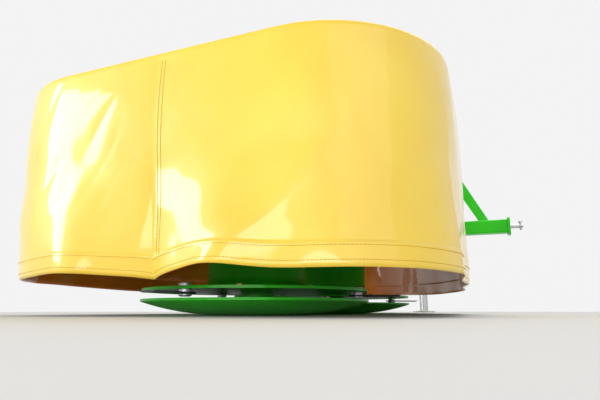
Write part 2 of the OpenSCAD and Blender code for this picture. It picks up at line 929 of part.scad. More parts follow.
// pressed dish of even sheet with a bearing boss that turns on the disc's hub
module skid(x) translate([x, 0, 0]) rotate_extrude() {
    intersection() {
        difference() {
            bowl(0);
            bowl(skid_sheet);
        }
        translate([skid_hole, 0]) square([skid_radius - skid_hole, 2 * skid_depth]);
    }
    translate([hub_r + running_gap, skid_sheet / 2]) square([boss_out, skid_boss_top - skid_sheet / 2]);
}

module skid_outer() color(paint_green) seat() skid(0);

module skid_inner() color(paint_green) seat() skid(inner_x);

hitch_beam();
mast();
top_cheeks();
pivot_lugs();
kingpin();
lower_pins();
stand_sleeve();
stand_screw();
stand_leg();
swing_arm();
fork();
trunnion_pin();
belt_guard();
guard_back();
guard_bracket();
bearing_housing();
pto_shield();
input_shaft();
beam();
beam_lid();
gear_train();
input_gearbox();
trunnion();
flange_outer();
flange_inner();
cover_hoop();
cover_rods();
front_stays();
rear_stays();
stay_lugs();
top_hoop();
top_rails();
cover_roof();
skirt_outer();
skirt_front();
skirt_inner();
skirt_rear();
drum_outer();
disc_outer();
pins_outer();
skid_outer();
knife_outer_1();
knife_outer_2();
knife_outer_3();
drum_inner();
disc_inner();
pins_inner();
skid_inner();
knife_inner_1();
knife_inner_2();
knife_inner_3();
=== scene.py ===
import math

import bpy
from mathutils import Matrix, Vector, geometry, noise


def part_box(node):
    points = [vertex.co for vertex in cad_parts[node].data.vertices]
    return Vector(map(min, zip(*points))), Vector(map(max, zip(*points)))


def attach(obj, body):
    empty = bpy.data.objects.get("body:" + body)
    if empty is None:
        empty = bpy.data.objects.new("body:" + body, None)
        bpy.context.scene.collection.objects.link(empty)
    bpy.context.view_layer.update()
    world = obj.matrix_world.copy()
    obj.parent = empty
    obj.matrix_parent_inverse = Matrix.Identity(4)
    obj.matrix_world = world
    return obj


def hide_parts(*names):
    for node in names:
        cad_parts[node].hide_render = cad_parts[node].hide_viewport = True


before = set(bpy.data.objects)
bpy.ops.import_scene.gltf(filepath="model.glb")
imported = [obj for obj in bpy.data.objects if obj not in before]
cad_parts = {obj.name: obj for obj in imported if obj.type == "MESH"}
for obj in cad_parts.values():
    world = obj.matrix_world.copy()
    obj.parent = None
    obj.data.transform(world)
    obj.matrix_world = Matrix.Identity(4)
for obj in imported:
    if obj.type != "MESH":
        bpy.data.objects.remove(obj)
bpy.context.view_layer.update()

# Stage: pale floor, soft studio light and a camera at floor level, because the photograph looks up
# from below. Its place in plan, its heading and its lens follow the photograph.
dish_low, dish_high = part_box("skid_outer")
axis_x = (dish_low[0] + dish_high[0]) / 2
axis_y = (dish_low[1] + dish_high[1]) / 2
scene = bpy.context.scene
scene.view_settings.view_transform = "Standard"

floor_half = 30
floor_grey, floor_rough = (0.72, 0.72, 0.72, 1), 0.85
fade_from, fade_to = 1.4, 3.0
floor_mesh = bpy.data.meshes.new("floor")
floor_corners = [(-1, -1), (1, -1), (1, 1), (-1, 1)]
floor_mesh.from_pydata([(x * floor_half, y * floor_half, 0) for x, y in floor_corners], [], [(0, 1, 2, 3)])
floor = bpy.data.objects.new("floor", floor_mesh)
scene.collection.objects.link(floor)
backdrop = (0.90, 0.90, 0.90, 1)


def seen_rays(nodes, links):
    """1 for rays that are seen straight, in a mirror or through glass, and 0 for those that only light."""
    ray = nodes.new("ShaderNodeLightPath")
    shiny = nodes.new("ShaderNodeMath")
    shiny.operation = "MAXIMUM"
    seen = nodes.new("ShaderNodeMath")
    seen.operation = "MAXIMUM"
    links.new(ray.outputs["Is Glossy Ray"], shiny.inputs[0])
    links.new(ray.outputs["Is Transmission Ray"], shiny.inputs[1])
    links.new(ray.outputs["Is Camera Ray"], seen.inputs[0])
    links.new(shiny.outputs["Value"], seen.inputs[1])
    return seen.outputs["Value"]


floor_mat = bpy.data.materials.new("floor")
floor_mat.use_nodes = True
floor_mesh.materials.append(floor_mat)
nodes, links = floor_mat.node_tree.nodes, floor_mat.node_tree.links
floor_shader = nodes["Principled BSDF"]
floor_shader.inputs["Base Color"].default_value = floor_grey
floor_shader.inputs["Roughness"].default_value = floor_rough
coords = nodes.new("ShaderNodeTexCoord")
away = nodes.new("ShaderNodeVectorMath")
away.operation = "LENGTH"
fade = nodes.new("ShaderNodeMapRange")
fade.interpolation_type = "SMOOTHSTEP"
fade.inputs["From Min"].default_value = fade_from
fade.inputs["From Max"].default_value = fade_to
share = nodes.new("ShaderNodeMath")
share.operation = "MULTIPLY"
far_floor = nodes.new("ShaderNodeEmission")
far_floor.inputs["Color"].default_value = backdrop
blend = nodes.new("ShaderNodeMixShader")
links.new(coords.outputs["Object"], away.inputs[0])
links.new(away.outputs["Value"], fade.inputs["Value"])
links.new(fade.outputs["Result"], share.inputs[0])
links.new(seen_rays(nodes, links), share.inputs[1])
links.new(share.outputs["Value"], blend.inputs["Fac"])
links.new(floor_shader.outputs["BSDF"], blend.inputs[1])
links.new(far_floor.outputs["Emission"], blend.inputs[2])
links.new(blend.outputs["Shader"], nodes["Material Output"].inputs["Surface"])

world = bpy.data.worlds.new("studio")
scene.world = world
world.use_nodes = True
nodes, links = world.node_tree.nodes, world.node_tree.links
sky = nodes["Background"]
sky.inputs["Color"].default_value = (1, 1, 1, 1)
sky.inputs["Strength"].default_value = 0.42
white = nodes.new("ShaderNodeBackground")
white.inputs["Color"].default_value = backdrop
pick = nodes.new("ShaderNodeMixShader")
links.new(seen_rays(nodes, links), pick.inputs["Fac"])
links.new(sky.outputs["Background"], pick.inputs[1])
links.new(white.outputs["Background"], pick.inputs[2])
links.new(pick.outputs["Shader"], nodes["World Output"].inputs["Surface"])

lamps = (
    ("key", (2.0, -2.7, 1.1), (1.0, 1.5), 50),
    ("fill", (2.4, 2.6, 1.8), (2.8, 2.8), 20),
    ("low", (2.6, 0.3, 0.32), (2.4, 0.5), 19),
    ("top", (-1.6, 0.8, 3.2), (2.4, 2.4), 60),
)
lamp_aim = Vector((axis_x - 0.3, axis_y, 0.3))
for name, (x, y, z), (wide, high), power in lamps:
    light = bpy.data.lights.new(name, "AREA")
    light.shape = "RECTANGLE"
    light.size = wide
    light.size_y = high
    light.energy = power
    lamp = bpy.data.objects.new(name, light)
    lamp.location = (axis_x + x, axis_y + y, z)
    aim = lamp_aim - lamp.location
    lamp.rotation_euler = aim.to_track_quat("-Z", "Y").to_euler()
    scene.collection.objects.link(lamp)

eye_ahead, eye_aside, eye_height = 1.126, 0.530, 0.012
camera = bpy.data.cameras.new("camera")
camera.lens = 29.8
camera.sensor_width = 36
camera.clip_start = 0.01
eye = bpy.data.objects.new("camera", camera)
eye.location = (axis_x + eye_ahead, axis_y + eye_aside, eye_height)
heading = math.radians(200.3)
lift = math.radians(12.5)
look = Vector((math.cos(lift) * math.cos(heading), math.cos(lift) * math.sin(heading), math.sin(lift)))
eye.rotation_euler = look.to_track_quat("-Z", "Y").to_euler()
scene.collection.objects.link(eye)
scene.camera = eye


# Hitch: cross tube, A-shaped mast with two drilled cheeks on top, pivot lugs and stand sleeve, welded from
# mild steel and sprayed in one bright green gloss enamel. Its pins are turned and zinc plated.
def clouded(name, dark, light, scale, rough, stops=(0.0, 1.0), metal=0.0):
    """A finish whose tone and gloss drift a little over the piece."""
    finish = bpy.data.materials.new(name)
    finish.use_nodes = True
    nodes, links = finish.node_tree.nodes, finish.node_tree.links
    shader = nodes["Principled BSDF"]
    shader.inputs["Metallic"].default_value = metal
    coords = nodes.new("ShaderNodeTexCoord")
    drift = nodes.new("ShaderNodeTexNoise")
    drift.name = "drift"
    drift.inputs["Scale"].default_value = scale
    drift.inputs["Detail"].default_value = 6.0
    links.new(coords.outputs["Object"], drift.inputs["Vector"])
    tone = nodes.new("ShaderNodeValToRGB")
    tone.name = "tone"
    for stop, position, colour in zip(tone.color_ramp.elements, stops, (dark, light)):
        stop.position = position
        stop.color = (*colour, 1)
    links.new(drift.outputs["Fac"], tone.inputs["Fac"])
    links.new(tone.outputs["Color"], shader.inputs["Base Color"])
    gloss = nodes.new("ShaderNodeMapRange")
    gloss.name = "gloss"
    gloss.inputs["To Min"].default_value = rough[0]
    gloss.inputs["To Max"].default_value = rough[1]
    links.new(drift.outputs["Fac"], gloss.inputs["Value"])
    links.new(gloss.outputs["Result"], shader.inputs["Roughness"])
    return finish


def grain(finish, scale, strength, depth):
    """The fine bumps of sprayed paint, cast skin or moulded plastic."""
    nodes, links = finish.node_tree.nodes, finish.node_tree.links
    coords = nodes.new("ShaderNodeTexCoord")
    peel = nodes.new("ShaderNodeTexNoise")
    peel.name = "peel"
    peel.inputs["Scale"].default_value = scale
    peel.inputs["Detail"].default_value = 2.0
    links.new(coords.outputs["Object"], peel.inputs["Vector"])
    bump = nodes.new("ShaderNodeBump")
    bump.name = "bump"
    bump.inputs["Strength"].default_value = strength
    bump.inputs["Distance"].default_value = depth
    links.new(peel.outputs["Fac"], bump.inputs["Height"])
    links.new(bump.outputs["Normal"], nodes["Principled BSDF"].inputs["Normal"])


def coat(names, finish):
    """Puts a finish on pieces that come from the frame."""
    for name in names:
        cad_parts[name].material_slots[0].material = finish


paint = clouded(
    "green_paint", (0.019, 0.500, 0.002), (0.030, 0.700, 0.005),
    scale=5.0, rough=(0.28, 0.46), stops=(0.30, 0.72),
)
shader = paint.node_tree.nodes["Principled BSDF"]
shader.inputs["Specular IOR Level"].default_value = 0.22
shader.inputs["Coat Weight"].default_value = 0.14
shader.inputs["Coat Roughness"].default_value = 0.12
grain(paint, scale=260.0, strength=0.05, depth=0.001)
coat(("hitch_beam", "mast", "top_cheeks", "pivot_lugs", "stand_sleeve"), paint)

plated = {"scale": 38.0, "rough": (0.22, 0.48), "metal": 1.0}
zinc = clouded("zinc_steel", (0.40, 0.41, 0.43), (0.68, 0.69, 0.70), **plated)
coat(("kingpin", "lower_pins"), zinc)


def node_group(title, sockets):
    """An empty Geometry Nodes tree, with the identifiers of its named inputs."""
    group = bpy.data.node_groups.new(title, "GeometryNodeTree")
    group.interface.new_socket("Geometry", in_out="INPUT", socket_type="NodeSocketGeometry")
    inputs = {
        name: group.interface.new_socket(name, in_out="INPUT", socket_type="NodeSocket" + kind).identifier
        for name, kind in sockets
    }
    group.interface.new_socket("Geometry", in_out="OUTPUT", socket_type="NodeSocketGeometry")
    return group, inputs


def beads_along(title, segments, rings, spread):
    """A tree that sets beads along lines, each a little larger or smaller than the next."""
    group, inputs = node_group(title, (("Pitch", "Float"), ("Bead Size", "Vector"), ("Finish", "Material")))
    nodes, links = group.nodes, group.links
    given = nodes.new("NodeGroupInput")
    result = nodes.new("NodeGroupOutput")
    run = nodes.new("GeometryNodeMeshToCurve")
    spots = nodes.new("GeometryNodeCurveToPoints")
    spots.mode = "LENGTH"
    bead = nodes.new("GeometryNodeMeshUVSphere")
    bead.inputs["Segments"].default_value = segments
    bead.inputs["Rings"].default_value = rings
    bead.inputs["Radius"].default_value = 0.5
    uneven = nodes.new("FunctionNodeRandomValue")
    uneven.data_type = "FLOAT"
    # Inputs 2 and 3 are the least and the most of a plain number, and output 1 is that number.
    uneven.inputs[2].default_value = 1 - spread
    uneven.inputs[3].default_value = 1 + spread
    uneven.inputs["Seed"].default_value = 7
    grow = nodes.new("ShaderNodeVectorMath")
    grow.operation = "SCALE"
    place = nodes.new("GeometryNodeInstanceOnPoints")
    real = nodes.new("GeometryNodeRealizeInstances")
    skin = nodes.new("GeometryNodeSetMaterial")
    links.new(given.outputs["Geometry"], run.inputs["Mesh"])
    links.new(run.outputs["Curve"], spots.inputs["Curve"])
    links.new(given.outputs["Pitch"], spots.inputs["Length"])
    links.new(spots.outputs["Points"], place.inputs["Points"])
    links.new(spots.outputs["Rotation"], place.inputs["Rotation"])
    links.new(bead.outputs["Mesh"], place.inputs["Instance"])
    links.new(given.outputs["Bead Size"], grow.inputs["Vector"])
    links.new(uneven.outputs[1], grow.inputs["Scale"])
    links.new(grow.outputs["Vector"], place.inputs["Scale"])
    links.new(place.outputs["Instances"], real.inputs["Geometry"])
    links.new(real.outputs["Geometry"], skin.inputs["Geometry"])
    links.new(given.outputs["Finish"], skin.inputs["Material"])
    links.new(skin.outputs["Geometry"], result.inputs["Geometry"])
    return group, inputs


def settle(piece, modifier):
    """Makes what a modifier gives the piece's own mesh."""
    ready = piece.evaluated_get(bpy.context.evaluated_depsgraph_get())
    piece.data = bpy.data.meshes.new_from_object(ready)
    piece.modifiers.remove(modifier)


def grown(name, points, edges, group, settings, facing=()):
    """A piece that a tree makes on points or lines."""
    mesh = bpy.data.meshes.new(name)
    mesh.from_pydata([tuple(p) for p in points], edges, [])
    if facing:
        ways = mesh.attributes.new("facing", "FLOAT_VECTOR", "POINT")
        for k, way in enumerate(facing):
            ways.data[k].vector = tuple(way)
    piece = bpy.data.objects.new(name, mesh)
    scene.collection.objects.link(piece)
    tree, inputs = group
    growth = piece.modifiers.new("growth", "NODES")
    growth.node_group = tree
    for title, value in settings.items():
        growth[inputs[title]] = value
    settle(piece, growth)
    return piece


def along(name, lines, group, pitch, size, finish):
    """One piece of smooth beads along many lines."""
    points, edges = [], []
    for line in lines:
        first = len(points)
        points += line
        edges += [(k, k + 1) for k in range(first, len(points) - 1)]
    piece = grown(name, points, edges, group, {"Pitch": pitch, "Bead Size": size, "Finish": finish})
    for face in piece.data.polygons:
        face.use_smooth = True
    return piece


weld_group = beads_along("weld_ripples", segments=8, rings=5, spread=0.14)
weld_pitch = 0.0042
weld_size = (0.0085, 0.0085, 0.0095)


def welds(name, body, seams):
    """A painted weld bead along each seam."""
    piece = along(name, seams, weld_group, weld_pitch, weld_size, paint)
    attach(piece, body)


def arc(centre, radius, across, up, turn=360, start=0, count=40):
    """Points on an arc about a centre, with its angles in degrees."""
    centre, across, up = Vector(centre), Vector(across), Vector(up)
    angles = [math.radians(start + turn * k / count) for k in range(count + 1)]
    return [centre + radius * (math.cos(a) * across + math.sin(a) * up) for a in angles]


cross_low, cross_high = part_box("hitch_beam")
cross_x, cross_y, cross_z = ((a + b) / 2 for a, b in zip(cross_low, cross_high))
cross_half = 0.035
end_plate = 0.012
run_out = 0.027
seams = []
for y in (cross_low[1] + end_plate, cross_high[1] - end_plate):
    for side in (-1, 1):
        z, x = cross_z + side * cross_half, cross_x + side * cross_half
        seams.append([(cross_x - run_out, y, z), (cross_x + run_out, y, z)])
        seams.append([(x, y, cross_z - run_out), (x, y, cross_z + run_out)])
mast_half = 0.008
foot_near, foot_far = 0.190, 0.240
cheek_low, cheek_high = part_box("top_cheeks")
cheek_out = (cheek_high[1] - cheek_low[1]) / 2
cheek_seam = (0.004, 0.080)
for side in (-1, 1):
    for x in (cross_x - mast_half, cross_x + mast_half):
        z = cross_z + cross_half
        seams.append([(x, cross_y + side * foot_near, z), (x, cross_y + side * foot_far, z)])
        y = cross_y + side * cheek_out
        seams.append([(x, y, cheek_low[2] + rise) for rise in cheek_seam])
lug_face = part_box("pivot_lugs")[0][0]
lug_half = 0.050
king_low, king_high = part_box("kingpin")
king_y = (king_low[1] + king_high[1]) / 2
for side in (-1, 1):
    y = king_y + side * lug_half
    seams.append([(lug_face, y, cross_z - run_out), (lug_face, y, cross_z + run_out)])
sleeve_low, sleeve_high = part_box("stand_sleeve")
sleeve_in = 0.006
for y in (sleeve_low[1] + sleeve_in, sleeve_high[1] - sleeve_in):
    seams.append([(sleeve_high[0], y, cross_z - run_out), (sleeve_high[0], y, cross_z + run_out)])
welds("hitch_welds", "hitch", seams)

# Linch pins: a short steel pin pushed through each lower hitch pin, with a sprung wire ring that snaps over
# the end and keeps it there. Both are zinc plated.
linch_in = 0.012
linch_top, linch_foot = 0.017, -0.021
linch_r, linch_head_r, linch_head_t = 0.0052, 0.0082, 0.010
wire_r, wire_ring_r = 0.0019, 0.0215
wire_lift, wire_turn, wire_start = 0.002, 250, -160
pin_sides, wire_sides = 16, 10


def rod(verts, faces, route, radius, sides):
    """Adds a round bar along a route, closed at both ends."""
    first = len(verts)
    across = Vector((0, 1, 0))
    for k, p in enumerate(route):
        ahead = (route[min(k + 1, len(route) - 1)] - route[max(k - 1, 0)]).normalized()
        over = ahead.cross(across)
        for n in range(sides):
            a = 2 * math.pi * n / sides
            verts.append(p + radius * (math.cos(a) * across + math.sin(a) * over))
    for k in range(len(route) - 1):
        for n in range(sides):
            a = first + k * sides + n
            b = first + k * sides + (n + 1) % sides
            faces.append((a, b, b + sides, a + sides))
    last = first + (len(route) - 1) * sides
    faces.append(tuple(first + n for n in reversed(range(sides))))
    faces.append(tuple(last + n for n in range(sides)))


def solid(name, verts, faces, finish):
    """A piece from points and faces."""
    mesh = bpy.data.meshes.new(name)
    mesh.from_pydata(verts, [], faces)
    mesh.materials.append(finish)
    piece = bpy.data.objects.new(name, mesh)
    scene.collection.objects.link(piece)
    return piece


verts, faces = [], []
pin_low, pin_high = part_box("lower_pins")
for y in (pin_low[1] + linch_in, pin_high[1] - linch_in):
    top = Vector((cross_x, y, cross_z + linch_top))
    rod(verts, faces, [Vector((cross_x, y, cross_z + linch_foot)), top], linch_r, pin_sides)
    rod(verts, faces, [top, top + Vector((0, 0, linch_head_t))], linch_head_r, pin_sides)
    ring = arc((cross_x, y, cross_z + wire_lift), wire_ring_r, (1, 0, 0), (0, 0, 1), wire_turn, wire_start)
    rod(verts, faces, ring, wire_r, wire_sides)
linch_pins = solid("linch_pins", verts, faces, zinc)
for face in linch_pins.data.polygons:
    face.use_smooth = len(face.vertices) == 4
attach(linch_pins, "hitch")

# Parking stand: a turned leg with a square foot, held in its sleeve by a hand screw. Both are bright
# zinc plated steel.
coat(("stand_screw", "stand_leg"), zinc)

# Swing arm: two square tubes in an L with a corner gusset, the pivot tube on the king pin and the float
# fork at the other end, all welded and painted. The fork's pin is turned steel.
coat(("swing_arm", "fork", "guard_bracket"), paint)
coat(("trunnion_pin",), zinc)
arm_low, arm_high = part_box("swing_arm")
fork_low, fork_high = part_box("fork")
tube_half = 0.040
pivot_r = 0.046
gusset, gusset_half = 0.094, 0.005
ear_half = 0.0285
arm_y = (fork_low[1] + fork_high[1]) / 2
arm_z = (arm_low[2] + arm_high[2]) / 2
king_x = (king_low[0] + king_high[0]) / 2
bend_x = king_x + tube_half
bend_y = arm_y + tube_half
seams = []
for side in (-1, 1):
    y, z = arm_y + side * tube_half, arm_z + side * tube_half
    for ear_z in (arm_z - ear_half, arm_z + ear_half):
        seams.append([(fork_low[0], y, ear_z), (arm_high[0], y, ear_z)])
    seams.append([(bend_x, arm_y - run_out, z), (bend_x, arm_y + run_out, z)])
    seams.append([(bend_x, y, arm_z - run_out), (bend_x, y, arm_z + run_out)])
    flat_z = arm_z + side * gusset_half
    seams.append([(bend_x, bend_y, flat_z), (bend_x + gusset, bend_y, flat_z)])
    seams.append([(bend_x, bend_y, flat_z), (bend_x, bend_y + gusset, flat_z)])
    seams.append(arc((king_x, king_y, z), pivot_r, (1, 0, 0), (0, 1, 0), turn=80, start=230, count=16))
welds("arm_welds", "arm", seams)

# Belt guard: a pressed sheet pan bolted through its rim to a flanged back plate. Small yellow zinc
# bolts sit all round the flange.
coat(("belt_guard", "guard_back"), paint)
gold = clouded("yellow_zinc", (0.58, 0.40, 0.12), (0.83, 0.66, 0.28), **plated)

bolt_group = node_group("hex_bolts", (
    ("Head Radius", "Float"), ("Head Height", "Float"),
    ("Washer Radius", "Float"), ("Washer Height", "Float"), ("Finish", "Material"),
))
crown_foot, crown_top, crown_rise = 0.86, 0.62, 0.18
nodes, links = bolt_group[0].nodes, bolt_group[0].links
given = nodes.new("NodeGroupInput")
result = nodes.new("NodeGroupOutput")


def times(title, share, added=None):
    """A named input times a share, plus another height where one is given."""
    part = nodes.new("ShaderNodeMath")
    part.operation = "MULTIPLY_ADD"
    part.inputs[1].default_value = share
    part.inputs[2].default_value = 0.0
    links.new(given.outputs[title], part.inputs[0])
    if added:
        links.new(added, part.inputs[2])
    return part.outputs["Value"]


plate = nodes.new("GeometryNodeMeshCylinder")
plate.inputs["Vertices"].default_value = 20
links.new(given.outputs["Washer Radius"], plate.inputs["Radius"])
links.new(given.outputs["Washer Height"], plate.inputs["Depth"])
flats = nodes.new("GeometryNodeMeshCylinder")
flats.inputs["Vertices"].default_value = 6
links.new(given.outputs["Head Radius"], flats.inputs["Radius"])
links.new(given.outputs["Head Height"], flats.inputs["Depth"])
crown = nodes.new("GeometryNodeMeshCone")
crown.inputs["Vertices"].default_value = 12
links.new(times("Head Radius", crown_foot), crown.inputs["Radius Bottom"])
links.new(times("Head Radius", crown_top), crown.inputs["Radius Top"])
links.new(times("Head Height", crown_rise), crown.inputs["Depth"])
stack = nodes.new("GeometryNodeJoinGeometry")
for layer, height in (
    (plate, times("Washer Height", 0.5)),
    (flats, times("Head Height", 0.5, times("Washer Height", 1.0))),
    (crown, times("Head Height", 1.0, times("Washer Height", 1.0))),
):
    rise = nodes.new("ShaderNodeCombineXYZ")
    move = nodes.new("GeometryNodeTransform")
    links.new(height, rise.inputs["Z"])
    links.new(rise.outputs["Vector"], move.inputs["Translation"])
    links.new(layer.outputs["Mesh"], move.inputs["Geometry"])
    links.new(move.outputs["Geometry"], stack.inputs["Geometry"])
facing = nodes.new("GeometryNodeInputNamedAttribute")
facing.data_type = "FLOAT_VECTOR"
facing.inputs["Name"].default_value = "facing"
turn = nodes.new("FunctionNodeAlignRotationToVector")
turn.axis = "Z"
place = nodes.new("GeometryNodeInstanceOnPoints")
real = nodes.new("GeometryNodeRealizeInstances")
skin = nodes.new("GeometryNodeSetMaterial")
links.new(facing.outputs["Attribute"], turn.inputs["Vector"])
links.new(given.outputs["Geometry"], place.inputs["Points"])
links.new(stack.outputs["Geometry"], place.inputs["Instance"])
links.new(turn.outputs["Rotation"], place.inputs["Rotation"])
links.new(place.outputs["Instances"], real.inputs["Geometry"])
links.new(real.outputs["Geometry"], skin.inputs["Geometry"])
links.new(given.outputs["Finish"], skin.inputs["Material"])
links.new(skin.outputs["Geometry"], result.inputs["Geometry"])

bolt_head, bolt_washer = (0.0075, 0.0055), (0.0095, 0.0016)


def bolts(name, body, seats, head=bolt_head, washer=bolt_washer, finish=gold):
    """Bolts with washers on their seats, each seat a spot and the way that its bolt faces."""
    spots = [spot for spot, way in seats]
    ways = [way for spot, way in seats]
    sizes = {
        "Head Radius": head[0], "Head Height": head[1],
        "Washer Radius": washer[0], "Washer Height": washer[1], "Finish": finish,
    }
    piece = grown(name, spots, [], bolt_group, sizes, ways)
    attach(piece, body)


pan_small_r, pan_big_r, pan_rim = 0.070, 0.150, 0.006
big_end_angles, side_steps = (-50, 0, 50), 5
guard_head, guard_washer = (0.0048, 0.0035), (0.0054, 0.0008)
hinge = Vector((axis_x - 0.875, 0.335))
drive = Vector((axis_x - 1.410, 0.560))
back_low, back_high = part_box("guard_back")
lean = math.atan2(drive.y - hinge.y, drive.x - hinge.x)
open_up = math.acos((pan_small_r - pan_big_r) / (drive - hinge).length)


def pan_edge(centre, radius, angle):
    """A spot on the flange, seen along the hinge."""
    return centre + (radius + pan_rim) * Vector((math.cos(angle), math.sin(angle)))


rim = [pan_edge(hinge, pan_small_r, lean + math.pi)]
rim += [pan_edge(drive, pan_big_r, lean + math.radians(a)) for a in big_end_angles]
for side in (-1, 1):
    near = pan_edge(hinge, pan_small_r, lean + side * open_up)
    far = pan_edge(drive, pan_big_r, lean + side * open_up)
    rim += [near.lerp(far, k / side_steps) for k in range(side_steps + 1)]
seats = [(Vector((p.x, back_high[1], p.y)), (0, 1, 0)) for p in rim]
seats += [(Vector((p.x, back_low[1], p.y)), (0, -1, 0)) for p in rim]
bolts("guard_bolts", "arm", seats, guard_head, guard_washer)

# Drive input: cast bearing housing on a webbed foot, splined stub, and a moulded plastic bell that keeps
# hands off the shaft. The casting is painted over its sand skin.
cast = paint.copy()
cast.name = "cast_paint"
cast.node_tree.nodes["peel"].inputs["Scale"].default_value = 140.0
cast.node_tree.nodes["bump"].inputs["Strength"].default_value = 0.30
plastic = clouded(
    "black_plastic", (0.016, 0.016, 0.017), (0.024, 0.024, 0.025), scale=12.0, rough=(0.45, 0.60),
)
grain(plastic, scale=700.0, strength=0.15, depth=0.0006)
coat(("bearing_housing",), cast)
coat(("input_shaft",), zinc)
coat(("pto_shield",), plastic)
foot_x, foot_y, foot_t = 0.043, 0.027, 0.012
foot_z = arm_z + tube_half + foot_t
bolts("housing_bolts", "arm", [
    (Vector((drive.x + x, arm_y + y, foot_z)), (0, 0, 1))
    for x in (-foot_x, foot_x) for y in (-foot_y, foot_y)
])

# Beam: folded sheet box with a bolted lid, a bevel gearbox and the float trunnion on its sloping nose,
# and a bolted flange under it at each drum. Its bolts are yellow zinc, and a bead of sealant runs along the
# joint of its bottom sheets.
coat(("beam", "beam_lid", "trunnion", "flange_outer", "flange_inner"), paint)
coat(("input_gearbox",), cast)
coat(("gear_train",), zinc)
beam_low, beam_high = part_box("beam")
lid_low, lid_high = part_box("beam_lid")
gear_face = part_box("input_gearbox")[1][1]
inner_low, inner_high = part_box("skid_inner")
inner_x = (inner_low[0] + inner_high[0]) / 2
flange_bolt_r, flange_t = 0.1375, 0.008
outer_start, inner_start = 5, 27
gear_bolt_r = 0.058
lid_edge, lid_end, lid_row = 0.012, 0.022, 9
seats = []
for x, start in ((axis_x, outer_start), (inner_x, inner_start)):
    centre = (x, axis_y, beam_low[2] - flange_t)
    for p in arc(centre, flange_bolt_r, (1, 0, 0), (0, 1, 0), turn=315, start=start, count=7):
        seats.append((p, (0, 0, -1)))
for k in range(lid_row):
    x = lid_low[0] + lid_end + (lid_high[0] - lid_low[0] - 2 * lid_end) * k / (lid_row - 1)
    for y in (lid_low[1] + lid_edge, lid_high[1] - lid_edge):
        seats.append((Vector((x, y, lid_high[2])), (0, 0, 1)))
centre = (hinge.x, gear_face, hinge.y)
for p in arc(centre, gear_bolt_r, (1, 0, 0), (0, 0, 1), turn=300, start=30, count=5):
    seats.append((p, (0, 1, 0)))
nose = Vector((axis_x - 0.790, 0, 0.270))
uphill = Vector((0.859, 0, 0.512))
off_nose = Vector((-uphill.z, 0, uphill.x))
nose_plate = 0.012
plate_rows, plate_half = (0.035, 0.160), 0.041
top_row, top_row_y = 0.222, (-0.012, 0.054)
nose_bolts = [(climb, arm_y + side * plate_half) for climb in plate_rows for side in (-1, 1)]
nose_bolts += [(top_row, axis_y + y) for y in top_row_y]
for climb, y in nose_bolts:
    spot = nose + uphill * climb + off_nose * nose_plate
    seats.append((Vector((spot.x, y, spot.z)), off_nose))
lug_t, lug_bolt_y, lug_bolt_z = 0.008, 0.218, 0.348
wall_bolt_x, wall_bolt_z = 0.055, 0.318
lug_places = (axis_x - 0.118, axis_x - 0.547)
for x in lug_places:
    for side in (-1, 1):
        spot = Vector((x, axis_y + side * lug_bolt_y, lug_bolt_z))
        seats.append((spot + Vector((lug_t, 0, 0)), (1, 0, 0)))
        seats.append((spot, (-1, 0, 0)))
        wall_y = beam_high[1] if side > 0 else beam_low[1]
        seats.append((Vector((x - wall_bolt_x, wall_y, wall_bolt_z)), (0, side, 0)))
bolts("beam_bolts", "cutter", seats)
sealant = clouded("sealant", (0.006, 0.022, 0.006), (0.014, 0.050, 0.012), scale=60.0, rough=(0.5, 0.7))
joint_share, joint_r, joint_sides, joint_end = 0.30, 0.0009, 8, 0.004
flange_low, flange_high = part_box("flange_outer")
joint_y = beam_low[1] + joint_share * (beam_high[1] - beam_low[1])
chord = math.sqrt(((flange_high[0] - flange_low[0]) / 2) ** 2 - (axis_y - joint_y) ** 2)
verts, faces = [], []
for ends in ((inner_x + chord, axis_x - chord), (axis_x + chord, beam_high[0] - joint_end)):
    rod(verts, faces, [Vector((x, joint_y, beam_low[2])) for x in ends], joint_r, joint_sides)
beam_joint = solid("beam_joint", verts, faces, sealant)
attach(beam_joint, "cutter")

# Drums: a drawn drum with a flared foot on a flat steel disc. A ring of bolts holds the two together, and
# a centre bolt with a broad washer holds the hub on its spindle.
disc_bolt_r = 0.162
hub_head, hub_washer = (0.0080, 0.0050), (0.0220, 0.003)
for side, x in (("outer", axis_x), ("inner", inner_x)):
    coat(("drum_" + side, "disc_" + side), paint)
    coat(("pins_" + side,), zinc)
    disc_low, disc_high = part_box("disc_" + side)
    ring = arc((x, axis_y, disc_high[2]), disc_bolt_r, (1, 0, 0), (0, 1, 0), turn=300, start=12, count=5)
    bolts("disc_bolts_" + side, side + "_drum", [(p, (0, 0, 1)) for p in ring])
    hub = Vector((x, axis_y, disc_low[2]))
    seats = [(hub, (0, 0, -1))]
    bolts("hub_bolt_" + side, side + "_drum", seats, hub_head, hub_washer, paint)

# Knives: hardened spring steel bar, oil blackened, ground bright on the sloping edges, each free to swing
# on its shouldered pin under the disc.
knife = clouded(
    "knife_steel", (0.020, 0.020, 0.022), (0.070, 0.070, 0.075), scale=60.0, rough=(0.35, 0.60), metal=0.6,
)
dark_slopes, bright_slopes = (0.90, 0.995), (0.93, 0.985)
nodes, links = knife.node_tree.nodes, knife.node_tree.links
coords = nodes.new("ShaderNodeTexCoord")
parts = nodes.new("ShaderNodeSeparateXYZ")
slant = nodes.new("ShaderNodeMath")
slant.operation = "ABSOLUTE"
ground = nodes.new("ShaderNodeValToRGB")
for stop, position in zip(ground.color_ramp.elements, dark_slopes):
    stop.position = position
    stop.color = (0, 0, 0, 1)
for position in bright_slopes:
    ground.color_ramp.elements.new(position).color = (1, 1, 1, 1)
steel = nodes.new("ShaderNodeMix")
steel.data_type = "RGBA"
blackened, bare_steel, bare_share = (
    next(socket for socket in steel.inputs if socket.identifier == identifier)
    for identifier in ("A_Color", "B_Color", "Factor_Float")
)
bare_steel.default_value = (0.14, 0.14, 0.15, 1)
